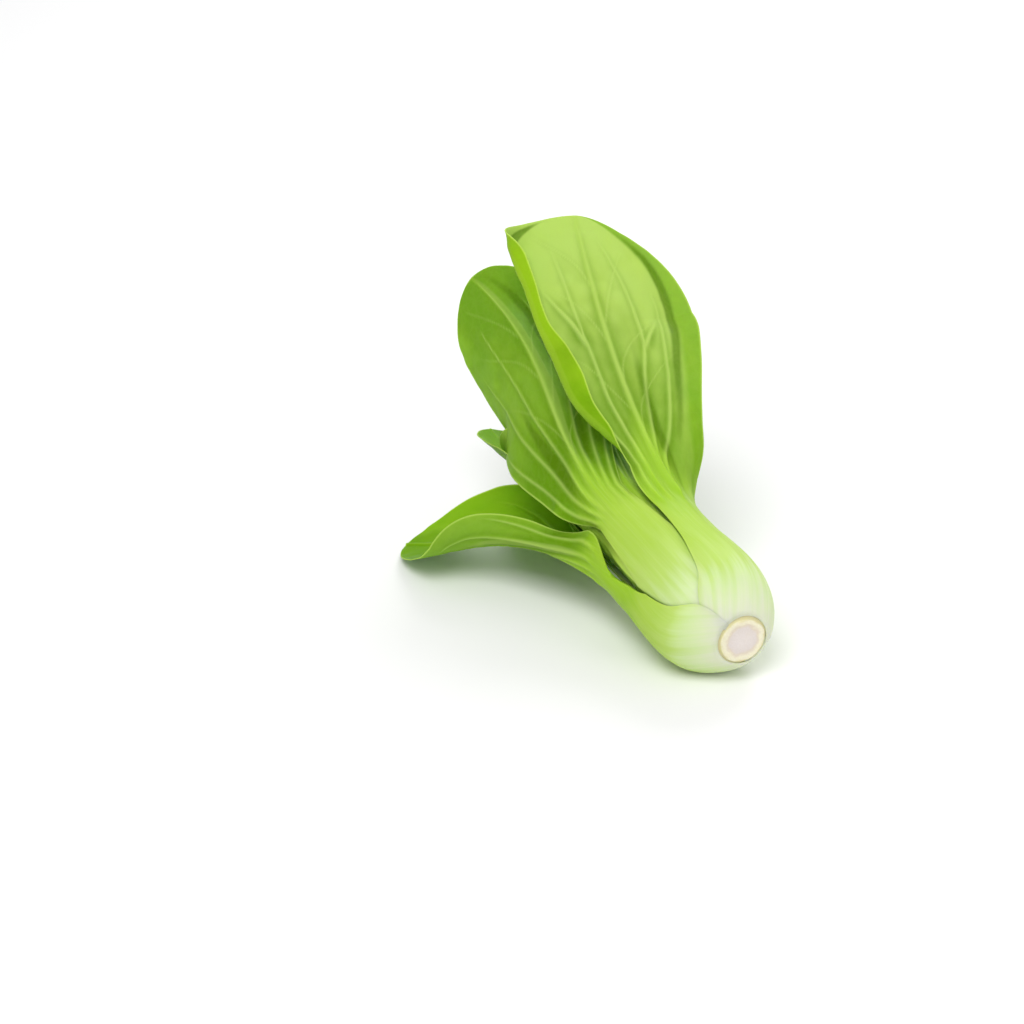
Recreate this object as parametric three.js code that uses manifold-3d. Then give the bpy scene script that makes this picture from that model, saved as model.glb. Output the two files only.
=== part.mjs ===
// A head of green-stemmed baby bok choy, cut at the base and lying on its bulb and its two lowest leaves.
// Millimetres and degrees, Z up. The head's own axis runs along +Y from the cut end, a little uphill.
import * as THREE from 'three';
import Module from 'manifold-3d';

const { clamp, degToRad, lerp, radToDeg, smoothstep } = THREE.MathUtils;

// The head as a whole. An outline is a line through [height up the head's axis, radius].
const HEAD_RISE = 13; // angle between the head's axis and the floor
const BULB_OUTLINE = [
  [0, 9.4], [2, 12.6], [6, 17], [11, 20.8], [18, 23.2], [27, 24],
  [38, 23.5], [52, 22.2], [70, 20.6], [110, 18],
];
const PACKED_TO = 46; // up to here the stalks are pressed together
const FREE_FROM = 74; // from here each stalk is on its own
const AIR = 0.5; // room left between one stalk and the next
const LEAST_GAP = 0.35; // a leaf that would come nearer than this to an outer one is cut back

// The stem in the middle of the base, with the face that the knife left
const CUT_RADIUS = 9.1;
const CUT_EDGE = 0.5;
const CUT_TILT = 14; // the knife went through askew,
const CUT_TOWARDS = 318; // so that the face looks this way
const CUT_REACH = 22; // height up to which the base leans with it
const STEM_OUTLINE = [[1.5, 8.2], [3, 7.2], [5, 5.4], [8, 3.9], [12, 2.8], [17, 1.8], [22, 1]];
const STEM_TIP = 24;
const STEM_SIDES = 28;

// Shape that all leaves share
const WRAP = [[0, 84], [8, 76], [20, 54], [31, 45], [45, 38], [60, 33]]; // height, half angle of a stalk
const STALK_MARGIN = 0.1; // thickness at a stalk's edge against its middle
const NARROWS_FROM = 34; // above this a stalk narrows towards its neck
const SKIN = 0.7; // thickness of the blade
const CORE_AT_TIP = 0.14; // width of the thick midrib at the tip against the stalk's
const TIP_POWER = 2.3; // how square the rounded end of a blade is
const LENGTH_MESHED = 0.992; // the last sliver of the round tip is left off

// Leaves from the outermost inwards
// clock: place round the head, seen from the cut end, clockwise from the top
// start: height on the stem. length: from there to the tip, along the leaf
// stalk: thickness. bladeFrom: distance along the leaf where the stalk starts to thin out into the blade
// neck, opens: half widths at the stalk's neck and the distances where each side widens into the blade
// left, right: lines through [share of the blade's length, half width]
// round: shares of its length where the rounded end begins. lobe: how far the lower corners hang back
// lean, side, twist, cup: lines through [distance along the leaf, value] for the lean away from the axis,
// the swing sideways, the turn about the midrib and the radius across the leaf
// belly: how far a stalk bulges beyond the bulb's outline
// folds: bends across the leaf, through [distance, share of the half width], over an arc, turning
// through [distance, degrees]
const LEAVES = [
  {
    name: 'leaf_01_outer_left', clock: 238, start: 1.2, length: 174,
    stalk: 6.2, neck: [9.5, 9.5], bladeFrom: 80,
    opens: [80, 56], round: [0.52, 0.52], lobe: [0, 0],
    left: [[0, 9.5], [0.5, 34], [1, 34]],
    right: [[0, 9.5], [0.12, 21], [0.22, 19], [0.34, 19.5], [0.6, 30], [1, 32]],
    lean: [[46, 4], [80, 14], [120, 25], [155, 43], [174, 40]],
    side: [[46, 0], [66, -4], [90, -9], [120, -16], [174, -4]],
    twist: [[46, 0], [72, -8], [95, -36], [130, -52], [174, -56]],
    cup: [[46, 19], [84, 16], [120, 34], [174, 60]],
    folds: [
      { at: [[76, 0.5], [130, 0.5]], arc: 6, turn: [[72, 0], [86, 62], [104, 60], [140, 0]] },
    ],
    belly: 2.8,
  },
  {
    name: 'leaf_02_top', clock: 26, start: 1.6, length: 202,
    stalk: 6.2, neck: [14, 11], bladeFrom: 82,
    opens: [82, 56], round: [0.88, 0.475], lobe: [0, 0],
    left: [[0, 14], [0.07, 17.5], [0.15, 24], [0.3, 34], [0.5, 34], [0.7, 35], [0.88, 39], [1, 34]],
    right: [
      [0, 11], [0.03, 11.8], [0.08, 18], [0.13, 24], [0.2, 26.8],
      [0.28, 27.2], [0.465, 35.5], [0.66, 43], [0.855, 42], [1, 33],
    ],
    lean: [[46, -2], [66, 6], [90, 21], [150, 26], [204, 24]],
    side: [[46, 0], [80, -2], [105, -6], [140, -1], [202, 7]],
    twist: [[46, 0], [80, -4], [120, -22], [204, -26]],
    cup: [[46, 20], [82, 18], [110, 55], [135, 90], [204, 110]],
    folds: [
      {
        at: [[88, -0.84], [102, -0.78], [121, -0.72], [135, -0.75], [150, -0.82], [165, -0.82], [192, -0.77]],
        arc: 4,
        turn: [[74, 0], [96, -140], [104, -150], [180, -150], [194, -70], [201, 0]],
      },
      {
        at: [[75, 0.4], [101, 0.66], [124, 0.7], [152, 0.77], [180, 0.84]],
        arc: 3.5,
        turn: [[80, 0], [100, -22], [140, -45], [168, -50], [186, -24], [200, 0]],
      },
      {
        at: [[60, 0.8], [72, 0.46], [95, 0.3], [120, 0.25]],
        arc: 4,
        turn: [[58, 0], [78, -50], [95, -42], [140, -10], [150, 0]],
      },
    ],
  },
  {
    name: 'leaf_03_outer_right', clock: 152, start: 2.2, length: 188,
    stalk: 6, neck: [9, 9], bladeFrom: 82,
    opens: [82, 82], round: [0.52, 0.52], lobe: [0, 0],
    left: [[0, 9], [0.5, 32], [1, 32]],
    right: [[0, 9], [0.5, 32], [1, 32]],
    lean: [[46, 0], [80, 15], [120, 30], [160, 20], [188, 12]],
    side: [[46, 0], [188, 0]],
    twist: [[46, 0], [80, 8], [120, 22], [188, 26]],
    cup: [[46, 19], [82, 14], [120, 40], [188, 70]],
    folds: [],
  },
  {
    name: 'leaf_04_middle', clock: 316, start: 4, length: 213,
    stalk: 5.4, neck: [10.5, 10.5], bladeFrom: 84,
    opens: [70, 80], round: [0.52, 0.52], lobe: [13, 0],
    left: [[0, 10.5], [0.1, 18], [0.25, 21], [0.45, 34], [1, 43]],
    right: [[0, 10.5], [0.25, 20], [0.5, 31], [1, 32]],
    lean: [[46, -3], [80, 0], [120, 1], [212, 2]],
    side: [[46, 0], [70, 0], [100, 10], [130, 19], [212, -3]],
    twist: [[46, 0], [212, 0]],
    cup: [[46, 17], [84, 13], [120, 30], [212, 50]],
    folds: [
      { at: [[84, 0.06], [212, 0.06]], arc: 4, turn: [[90, 0], [115, 55], [170, 60], [212, 20]] },
      { at: [[84, 0.36], [212, 0.36]], arc: 5, turn: [[90, 0], [115, -45], [170, -50], [212, -10]] },
      { at: [[84, -0.4], [150, -0.45]], arc: 7, turn: [[76, 0], [90, -62], [115, -50], [150, 0]] },
    ],
  },
  {
    name: 'leaf_05_right', clock: 72, start: 5, length: 176,
    stalk: 4.6, neck: [7.5, 7.5], bladeFrom: 80,
    opens: [80, 80], round: [0.52, 0.52], lobe: [0, 0],
    left: [[0, 7.5], [0.5, 25], [1, 25]],
    right: [[0, 7.5], [0.5, 25], [1, 25]],
    lean: [[46, -3], [80, 4], [120, 10], [176, 12]],
    side: [[46, 0], [176, 0]],
    twist: [[46, 0], [176, 0]],
    cup: [[46, 15], [80, 12], [120, 22], [176, 34]],
    folds: [],
  },
  {
    name: 'leaf_06_under', clock: 196, start: 6, length: 170,
    stalk: 4.4, neck: [7.5, 7.5], bladeFrom: 78,
    opens: [78, 78], round: [0.52, 0.52], lobe: [0, 0],
    left: [[0, 7.5], [0.5, 22], [1, 22]],
    right: [[0, 7.5], [0.5, 22], [1, 22]],
    lean: [[46, -3], [80, -2], [120, 1], [170, 2]],
    side: [[46, 0], [170, 0]],
    twist: [[46, 0], [170, 0]],
    cup: [[46, 14], [78, 11], [120, 22], [170, 34]],
    folds: [],
  },
  {
    name: 'leaf_07_inner', clock: 345, start: 7.5, length: 154,
    stalk: 3.6, neck: [6.5, 6.5], bladeFrom: 76,
    opens: [76, 76], round: [0.52, 0.52], lobe: [0, 0],
    left: [[0, 6.5], [0.5, 17], [1, 17]],
    right: [[0, 6.5], [0.5, 17], [1, 17]],
    lean: [[46, -3], [80, -1], [120, 0], [154, 1]],
    side: [[46, 0], [154, 16]],
    twist: [[46, 0], [154, 0]],
    cup: [[46, 12], [76, 9], [120, 15], [154, 22]],
    folds: [],
  },
  {
    name: 'leaf_08_inner', clock: 118, start: 9, length: 144,
    stalk: 3.2, neck: [6, 6], bladeFrom: 74,
    opens: [74, 74], round: [0.52, 0.52], lobe: [0, 0],
    left: [[0, 6], [0.5, 17], [1, 17]],
    right: [[0, 6], [0.5, 17], [1, 17]],
    lean: [[46, -3], [80, 0], [144, 3]],
    side: [[46, 0], [144, 0]],
    twist: [[46, 0], [144, 0]],
    cup: [[46, 10], [74, 8], [110, 12], [144, 18]],
    folds: [],
  },
  {
    name: 'leaf_09_inner', clock: 262, start: 10.5, length: 146,
    stalk: 2.8, neck: [5, 5], bladeFrom: 72,
    opens: [72, 72], round: [0.52, 0.52], lobe: [0, 0],
    left: [[0, 5], [0.5, 16], [1, 16]],
    right: [[0, 5], [0.5, 16], [1, 16]],
    lean: [[46, -2], [80, -2], [146, -1]],
    side: [[46, 0], [146, -8]],
    twist: [[46, 0], [146, 0]],
    cup: [[46, 8], [70, 6], [100, 12], [146, 22]],
    folds: [],
  },
  {
    name: 'leaf_10_heart', clock: 33, start: 12, length: 108,
    stalk: 2.4, neck: [4, 4], bladeFrom: 64,
    opens: [64, 64], round: [0.52, 0.52], lobe: [0, 0],
    left: [[0, 4], [0.5, 9], [1, 9]],
    right: [[0, 4], [0.5, 9], [1, 9]],
    lean: [[46, -2], [108, 1]],
    side: [[46, 0], [108, 0]],
    twist: [[46, 0], [108, 0]],
    cup: [[46, 6], [70, 5], [108, 9]],
    folds: [],
  },
  {
    name: 'leaf_11_heart', clock: 150, start: 13, length: 88,
    stalk: 2, neck: [3, 3], bladeFrom: 56,
    opens: [56, 56], round: [0.52, 0.52], lobe: [0, 0],
    left: [[0, 3], [0.5, 7], [1, 7]],
    right: [[0, 3], [0.5, 7], [1, 7]],
    lean: [[46, -2], [88, 1]],
    side: [[46, 0], [88, 0]],
    twist: [[46, 0], [88, 0]],
    cup: [[46, 5], [88, 7]],
    folds: [],
  },
];

// Mesh fineness: the leaves before FINE_LEAVES are the ones that show
const FINE_LEAVES = 6;
const FINE_GRID = { rows: 20, columns: 10 };
const COARSE_GRID = { rows: 14, columns: 6 };
const ROW_PLACES = [
  [0, 0], [0.1, 0.02], [0.2, 0.06], [0.32, 0.15], [0.44, 0.28],
  [0.56, 0.44], [0.68, 0.62], [0.8, 0.8], [0.9, 0.93], [1, 1],
];
const SECTION_STEPS = 40;
const MIDRIB_STEP = 1;

const LEAF_FINISH = { color: 0x9ecb3c, roughness: 0.42, metalness: 0 };
const STEM_FINISH = { color: 0xe6dccb, roughness: 0.6, metalness: 0 };

// Value at t on a smooth line through [position, value] pairs
function along(keys, t) {
  const last = keys.length - 1;
  if (t <= keys[0][0]) return keys[0][1];
  if (t >= keys[last][0]) return keys[last][1];
  const i = keys.findIndex((key) => key[0] > t) - 1;
  const slope = (a, b) => (keys[b][1] - keys[a][1]) / (keys[b][0] - keys[a][0]);
  const width = keys[i + 1][0] - keys[i][0];
  const startRise = slope(Math.max(i - 1, 0), i + 1) * width;
  const endRise = slope(i, Math.min(i + 2, last)) * width;
  const x = (t - keys[i][0]) / width;
  const share = x * x * (3 - 2 * x);
  return lerp(keys[i][1], keys[i + 1][1], share) + startRise * x * (1 - x) ** 2 - endRise * x * x * (1 - x);
}

// How free a leaf is of the packed base at a distance along it, from 0 to 1
function freedom(s) {
  return smoothstep(s, PACKED_TO - 6, FREE_FROM);
}

// Share of the full thickness at x half widths from the middle of a stalk
function crescent(x) {
  return lerp(STALK_MARGIN, 1, Math.max(0, 1 - x * x) ** 0.8);
}

// Thickness of a stalk's middle at height z up the head
function stalkThickness(leaf, z) {
  const grown = lerp(0.35, 1, smoothstep(z, leaf.start, leaf.start + 16));
  return leaf.stalk * grown * lerp(1, 0.62, smoothstep(z, 30, leaf.bladeFrom));
}

// Room that a stalk takes at an angle round the head and a height z, with the air beyond it
function roomTaken(leaf, angle, z) {
  const fromMiddle = Math.abs(((angle - leaf.clock + 540) % 360) - 180) / along(WRAP, z);
  const room = stalkThickness(leaf, z) * crescent(Math.min(fromMiddle, 1)) + AIR;
  return room * (1 - smoothstep(fromMiddle, 1.02, 1.5)) * smoothstep(z, leaf.start - 2, leaf.start);
}

// Distance from the head's axis to the outer face of leaf number k
function packedRadius(k, angle, z) {
  const taken = LEAVES.slice(0, k).reduce((sum, outer) => sum + roomTaken(outer, angle, z), 0);
  return along(BULB_OUTLINE, z) - taken;
}

// Half width of a leaf's stalk on one side, which narrows from the bulb to its neck
function stalkHalfWidth(leaf, s, side, packed, narrowAt) {
  const wrapped = degToRad(along(WRAP, leaf.start + s)) * packed;
  return lerp(wrapped, leaf.neck[side], clamp((s - NARROWS_FROM) / (narrowAt - NARROWS_FROM), 0, 1));
}

// Half width of a leaf on one side at a distance s along it
function halfWidth(leaf, s, side, packed) {
  const opens = leaf.opens[side];
  if (s <= opens) return stalkHalfWidth(leaf, s, side, packed, opens);
  const t = (s - opens) / (leaf.length - opens);
  const ending = Math.max(0, (t - leaf.round[side]) / (1 - leaf.round[side]));
  return along(side === 0 ? leaf.left : leaf.right, t) * Math.sqrt(Math.max(0, 1 - ending ** TIP_POWER));
}

// Curvature across a leaf, v millimetres to the right of its midrib
function curvature(leaf, s, v, half, packed) {
  const hollow = 1 / lerp(packed, along(leaf.cup, s), freedom(s));
  return leaf.folds.reduce((sum, fold) => {
    const off = Math.min(Math.abs(v - along(fold.at, s) * half) / fold.arc, 1);
    return sum + (degToRad(along(fold.turn, s)) * (1 + Math.cos(Math.PI * off))) / (2 * fold.arc);
  }, hollow);
}

// Where the section across a leaf has got to at a signed distance from the midrib, and which way it faces
function section(leaf, s, distance, half, packed) {
  const step = distance / SECTION_STEPS;
  const at = { x: 0, y: 0, turn: 0 };
  for (let i = 0; i < SECTION_STEPS; i += 1) {
    const bend = curvature(leaf, s, (i + 0.5) * step, half, packed) * step;
    at.x += Math.cos(at.turn + bend / 2) * step;
    at.y -= Math.sin(at.turn + bend / 2) * step;
    at.turn += bend;
  }
  return at;
}

// Direction across the head at a clock angle
function outwardAt(angle) {
  return new THREE.Vector3(Math.sin(degToRad(angle)), 0, Math.cos(degToRad(angle)));
}

// The midrib as a row of places a step apart, each with its directions forward, out and across
function midribOf(leaf, k) {
  const axis = new THREE.Vector3(0, 1, 0);
  const outward = outwardAt(leaf.clock);
  const sideways = outwardAt(leaf.clock + 90);
  const place = new THREE.Vector3();
  const stations = [];
  for (let s = 0; s <= leaf.length + MIDRIB_STEP; s += MIDRIB_STEP) {
    const lean = degToRad(along(leaf.lean, s));
    const side = degToRad(along(leaf.side, s));
    const twist = degToRad(along(leaf.twist, s)) * freedom(s);
    const run = axis.clone().multiplyScalar(Math.cos(lean)).addScaledVector(outward, Math.sin(lean));
    run.multiplyScalar(Math.cos(side)).addScaledVector(sideways, Math.sin(side));
    const forward = axis.clone().lerp(run, freedom(s)).normalize();
    const out = outward.clone().multiplyScalar(Math.cos(twist)).addScaledVector(sideways, Math.sin(twist));
    out.addScaledVector(forward, -out.dot(forward)).normalize();
    const across = new THREE.Vector3().crossVectors(forward, out);
    const z = leaf.start + s;
    if (z <= PACKED_TO) {
      place.copy(axis).multiplyScalar(z).addScaledVector(outward, packedRadius(k, leaf.clock, z));
    } else {
      place.addScaledVector(run, MIDRIB_STEP);
    }
    stations.push({ place: place.clone(), forward, out, across });
  }
  return stations;
}

// Outer and inner point of a leaf at s along it and a signed share of its half width, grown by a margin
function leafPair(leaf, k, midrib, s, share, grow) {
  const index = Math.min(Math.floor(s / MIDRIB_STEP), midrib.length - 2);
  const part = s / MIDRIB_STEP - index;
  const between = (name) => midrib[index][name].clone().lerp(midrib[index + 1][name], part);
  const place = between('place');
  const forward = between('forward').normalize();
  const out = between('out').normalize();
  const across = between('across').normalize();

  const z = leaf.start + s;
  const packed = packedRadius(k, leaf.clock, Math.min(z, PACKED_TO));
  const right = share < 0 ? 0 : 1;
  const half = halfWidth(leaf, s, right, packed) + grow;
  const at = section(leaf, s, share * half, half, packed);
  const normal = across.clone().multiplyScalar(Math.sin(at.turn)).addScaledVector(out, Math.cos(at.turn));

  const pressedAt = Math.min(z, FREE_FROM);
  const angle = leaf.clock + radToDeg((share * half) / packed);
  const pressed = packedRadius(k, angle, pressedAt) - packedRadius(k, leaf.clock, pressedAt);
  const t = (s - leaf.bladeFrom) / (leaf.length - leaf.bladeFrom);
  const hang = smoothstep(t, -0.02, 0.16) * (1 - smoothstep(t, 0.16, 0.6)) * leaf.lobe[right] * share * share;
  place.addScaledVector(across, at.x).addScaledVector(out, at.y);
  const bulge = smoothstep(s, 0, 14) - smoothstep(s, 44, 72);
  const belly = (leaf.belly ?? 0) * bulge * (1 - share * share);
  place.addScaledVector(normal, pressed * (1 - freedom(s)) + belly + grow).addScaledVector(forward, -hang);

  const inBlade = clamp(t, 0, 1);
  const core = stalkHalfWidth(leaf, s, right, packed, leaf.bladeFrom) * lerp(1, CORE_AT_TIP, inBlade ** 0.6);
  const thinned = lerp(1, 0.3, clamp(t * 1.6, 0, 1));
  const stalk = stalkThickness(leaf, z) * thinned * crescent(Math.min(Math.abs(share * half) / core, 1));
  const thickness = belly + Math.max(stalk, SKIN);
  return [place, place.clone().addScaledVector(normal, -thickness - 2 * grow)];
}

// Moves a point of the base along the axis, so that the cut face is askew
function skewBase(point) {
  const shift = Math.tan(degToRad(CUT_TILT)) * point.dot(outwardAt(CUT_TOWARDS));
  point.setY(point.y + shift * (1 - smoothstep(point.y, 0, CUT_REACH)));
}

// Closed mesh between two faces that are given as rows of point pairs
function closedSheet(rows) {
  const height = rows.length;
  const width = rows[0].length;
  const positions = [0, 1].flatMap((face) => rows.flat().flatMap((pair) => pair[face].toArray()));
  const outer = (i, j) => i * width + j;
  const inner = (i, j) => height * width + i * width + j;
  const faces = [];
  const quad = (a, b, c, d) => faces.push(a, b, c, a, c, d);
  for (let i = 0; i < height - 1; i += 1) {
    for (let j = 0; j < width - 1; j += 1) {
      quad(outer(i, j), outer(i, j + 1), outer(i + 1, j + 1), outer(i + 1, j));
      quad(inner(i, j), inner(i + 1, j), inner(i + 1, j + 1), inner(i, j + 1));
    }
    quad(outer(i, 0), outer(i + 1, 0), inner(i + 1, 0), inner(i, 0));
    quad(outer(i, width - 1), inner(i, width - 1), inner(i + 1, width - 1), outer(i + 1, width - 1));
  }
  for (let j = 0; j < width - 1; j += 1) {
    quad(outer(0, j), inner(0, j), inner(0, j + 1), outer(0, j + 1));
    quad(outer(height - 1, j), outer(height - 1, j + 1), inner(height - 1, j + 1), inner(height - 1, j));
  }
  return { positions, faces };
}

// A leaf's closed mesh, grown all round by a margin
function leafSheet(leaf, k, grow) {
  const grid = k < FINE_LEAVES ? FINE_GRID : COARSE_GRID;
  const midrib = midribOf(leaf, k);
  const rows = [];
  for (let i = 0; i <= grid.rows; i += 1) {
    const s = along(ROW_PLACES, i / grid.rows) * LENGTH_MESHED * leaf.length;
    const row = [];
    for (let j = 0; j <= grid.columns; j += 1) {
      const even = (2 * j) / grid.columns - 1;
      const share = lerp(Math.sin((even * Math.PI) / 2), even, 0.45);
      row.push(leafPair(leaf, k, midrib, s, share, grow));
    }
    rows.push(row);
  }
  const { forward } = midrib[0];
  rows[0].flat().forEach((point) => point.addScaledVector(forward, -grow));
  rows[grid.rows].flat().forEach((point) => point.addScaledVector(midrib[midrib.length - 1].forward, grow));
  rows.flat(2).forEach(skewBase);
  return closedSheet(rows);
}

const wasm = await Module();
wasm.setup();

function solidOf({ positions, faces }) {
  const mesh = new wasm.Mesh({
    numProp: 3,
    vertProperties: new Float32Array(positions),
    triVerts: new Uint32Array(faces),
  });
  return new wasm.Manifold(mesh);
}

function geometryOf(solid) {
  const mesh = solid.getMesh();
  const geometry = new THREE.BufferGeometry();
  geometry.setAttribute('position', new THREE.Float32BufferAttribute(mesh.vertProperties, mesh.numProp));
  geometry.setIndex(Array.from(mesh.triVerts));
  geometry.computeVertexNormals();
  return geometry;
}

function largestBody(solid) {
  return solid.decompose().reduce((best, body) => (body.volume() > best.volume() ? body : best));
}

// Leaf number k as a solid, cut back where an outer leaf or the stem is in its way
function leafMesh(leaf, k, inTheWay) {
  const whole = solidOf(leafSheet(leaf, k, 0));
  const met = inTheWay.filter((other) => whole.intersect(other).volume() > 0);
  const cut = met.reduce((rest, other) => rest.subtract(other), whole);
  const mesh = new THREE.Mesh(geometryOf(largestBody(cut)), new THREE.MeshStandardMaterial(LEAF_FINISH));
  mesh.name = leaf.name;
  return mesh;
}

// The stem is turned, then leans at the base as the leaves do
function stemMesh() {
  const face = [[0, 0], [0, CUT_RADIUS - CUT_EDGE], [CUT_EDGE, CUT_RADIUS]];
  const profile = [...face, ...STEM_OUTLINE, [STEM_TIP, 0]];
  const points = profile.map(([z, radius]) => new THREE.Vector2(radius, z));
  const geometry = new THREE.LatheGeometry(points, STEM_SIDES);
  const { position } = geometry.attributes;
  const point = new THREE.Vector3();
  for (let i = 0; i < position.count; i += 1) {
    point.fromBufferAttribute(position, i);
    skewBase(point);
    position.setXYZ(i, point.x, point.y, point.z);
  }
  const mesh = new THREE.Mesh(geometry, new THREE.MeshStandardMaterial(STEM_FINISH));
  mesh.name = 'stem_base';
  return mesh;
}

const head = new THREE.Group();
head.add(stemMesh());
const inTheWay = [];
LEAVES.forEach((leaf, k) => {
  head.add(leafMesh(leaf, k, inTheWay));
  inTheWay.push(solidOf(leafSheet(leaf, k, LEAST_GAP)));
});
head.rotation.x = degToRad(HEAD_RISE);

// The origin is the middle of the object's box, on the floor
const bokChoy = new THREE.Group();
bokChoy.add(head);
bokChoy.updateMatrixWorld(true);
const extent = new THREE.Box3().setFromObject(bokChoy, true);
const middle = extent.getCenter(new THREE.Vector3());
head.position.set(-middle.x, -middle.y, -extent.min.z);

export default bokChoy;
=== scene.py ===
# %% [markdown]
# # A head of baby bok choy, modelled leaf by leaf
# The head lies on its side with its cut end towards the camera. It has a short stem and eleven leaves. Each
# leaf is a thick pale stalk that opens into a thin green blade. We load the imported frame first: it says where
# every piece sits, so each leaf that we make takes the place of one plain solid.
# %% Load the frame
import math

import bpy
import numpy as np
from mathutils import Matrix, Vector


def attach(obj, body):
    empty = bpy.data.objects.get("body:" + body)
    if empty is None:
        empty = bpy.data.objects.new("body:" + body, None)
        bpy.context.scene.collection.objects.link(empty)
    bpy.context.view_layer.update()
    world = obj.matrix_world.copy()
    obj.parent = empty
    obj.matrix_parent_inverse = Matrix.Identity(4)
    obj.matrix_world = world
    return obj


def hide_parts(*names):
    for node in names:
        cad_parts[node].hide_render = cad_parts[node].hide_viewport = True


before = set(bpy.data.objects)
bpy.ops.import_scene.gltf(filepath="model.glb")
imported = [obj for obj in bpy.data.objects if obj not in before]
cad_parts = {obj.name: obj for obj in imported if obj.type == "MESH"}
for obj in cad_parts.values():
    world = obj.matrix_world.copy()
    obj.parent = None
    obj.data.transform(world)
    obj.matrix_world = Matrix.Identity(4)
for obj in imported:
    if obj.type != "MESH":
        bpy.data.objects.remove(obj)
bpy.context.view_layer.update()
print("frame nodes:", sorted(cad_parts))


# %% [markdown]
# ## The head's own axis
# The head rises a little from the surface, because the open leaves under it hold its upper end up. We could
# place every point in the frame directly, but round a straight level axis the sums are much shorter. So all
# modelling below is done in millimetres in the head's own space: its axis runs along +Y from the middle of
# the cut face, with +Z up. The stem's tip is the point of the stem that is furthest along that axis, and it
# tells us where the cut face is in the frame.
# %% Find the cut face in the frame
HEAD_RISE = math.radians(13)
STEM_TIP = 24
MM = 0.001

head_axis = Vector((0, math.cos(HEAD_RISE), math.sin(HEAD_RISE)))
stem_points = [v.co.copy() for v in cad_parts["stem_base"].data.vertices]
stem_tip = max(stem_points, key=head_axis.dot)
cut_centre = stem_tip - head_axis * STEM_TIP * MM


def to_frame(points):
    """Points of the head's own space, in millimetres, as places in the frame, in metres."""
    x, y, z = (points[..., i] for i in range(3))
    turned_y = y * math.cos(HEAD_RISE) - z * math.sin(HEAD_RISE)
    turned_z = y * math.sin(HEAD_RISE) + z * math.cos(HEAD_RISE)
    return np.stack([x, turned_y, turned_z], -1) * MM + np.array(cut_centre)


print("middle of the cut face:", [round(c, 5) for c in cut_centre])


# %% [markdown]
# ## Camera
# A long lens keeps the leaves from looking stretched. The camera stands to the left of the head's axis and
# looks down on it. We know how many millimetres one pixel covers at the cut face and which pixel its middle
# falls on, so the camera is stepped back and aside from there until both are right.
# %% Place the camera
IMAGE_SIDE = 1024
LENS = 105
SENSOR = 36
TURN = math.radians(31.7)
LOOK_DOWN = math.radians(26.3)
MM_PER_PIXEL = 0.38
CUT_PIXEL = (743, 641)

level = math.cos(LOOK_DOWN)
ahead = Vector((math.sin(TURN) * level, math.cos(TURN) * level, -math.sin(LOOK_DOWN)))
right = Vector((math.cos(TURN), -math.sin(TURN), 0))
up = right.cross(ahead)
distance = MM_PER_PIXEL * MM * LENS / SENSOR * IMAGE_SIDE
aside = (CUT_PIXEL[0] - IMAGE_SIDE / 2) * MM_PER_PIXEL * MM
below = (CUT_PIXEL[1] - IMAGE_SIDE / 2) * MM_PER_PIXEL * MM

camera_data = bpy.data.cameras.new("camera")
camera_data.lens = LENS
camera_data.sensor_width = SENSOR
camera = bpy.data.objects.new("camera", camera_data)
bpy.context.scene.collection.objects.link(camera)
stand = cut_centre - ahead * distance - right * aside + up * below
camera.matrix_world = Matrix.Translation(stand) @ Matrix((right, up, -ahead)).transposed().to_4x4()
bpy.context.scene.camera = camera
print("camera stands", round(distance, 3), "m from the cut face")


# %% [markdown]
# ## Floor and light
# The floor is a plain pale sheet. One broad soft lamp stands overhead to the left, a weaker one behind on
# the right lets the thin blades glow, and a small low one in front brightens the bulb. A pale sky fills the
# shadows, as in a small photo tent. A sun lamp would be simpler, but its shadows are hard. Each lamp is
# listed with its name, its place, its side in metres and its power in watts.
# %% Build the floor and the lamps
FLOOR_SIDE = 6
PAPER_WHITE = (0.92, 0.92, 0.92)
PAPER_ROUGHNESS = 0.9
LAMPS = [
    ("lamp_overhead", (-0.8, -0.6, 1.7), 1.1, 20),
    ("lamp_behind", (0.9, 0.7, 0.9), 0.7, 7.5),
    ("lamp_front", (0.25, -1.0, 0.45), 0.4, 1.2),
]
SKY_WHITE = (1, 1, 1, 1)
SKY_STRENGTH = 0.55


def deselect_all():
    bpy.ops.object.select_all(action="DESELECT")


def plain_material(name, colour, roughness):
    material = bpy.data.materials.new(name)
    material.use_nodes = True
    shader = material.node_tree.nodes["Principled BSDF"]
    shader.inputs["Base Color"].default_value = (*colour, 1)
    shader.inputs["Roughness"].default_value = roughness
    return material


def soft_lamp(name, place, side, power):
    data = bpy.data.lights.new(name, "AREA")
    data.size = side
    data.energy = power
    lamp = bpy.data.objects.new(name, data)
    bpy.context.scene.collection.objects.link(lamp)
    lamp.location = place
    lamp.rotation_euler = (-Vector(place)).to_track_quat("-Z", "Y").to_euler()


deselect_all()
bpy.ops.mesh.primitive_plane_add(size=FLOOR_SIDE)
floor = bpy.context.object
floor.name = "floor"
floor.data.materials.append(plain_material("floor_paper", PAPER_WHITE, PAPER_ROUGHNESS))

for lamp in LAMPS:
    soft_lamp(*lamp)

world = bpy.context.scene.world or bpy.data.worlds.new("world")
bpy.context.scene.world = world
world.use_nodes = True
sky = world.node_tree.nodes["Background"]
sky.inputs["Color"].default_value = SKY_WHITE
sky.inputs["Strength"].default_value = SKY_STRENGTH
bpy.context.scene.view_settings.view_transform = "Standard"


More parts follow.
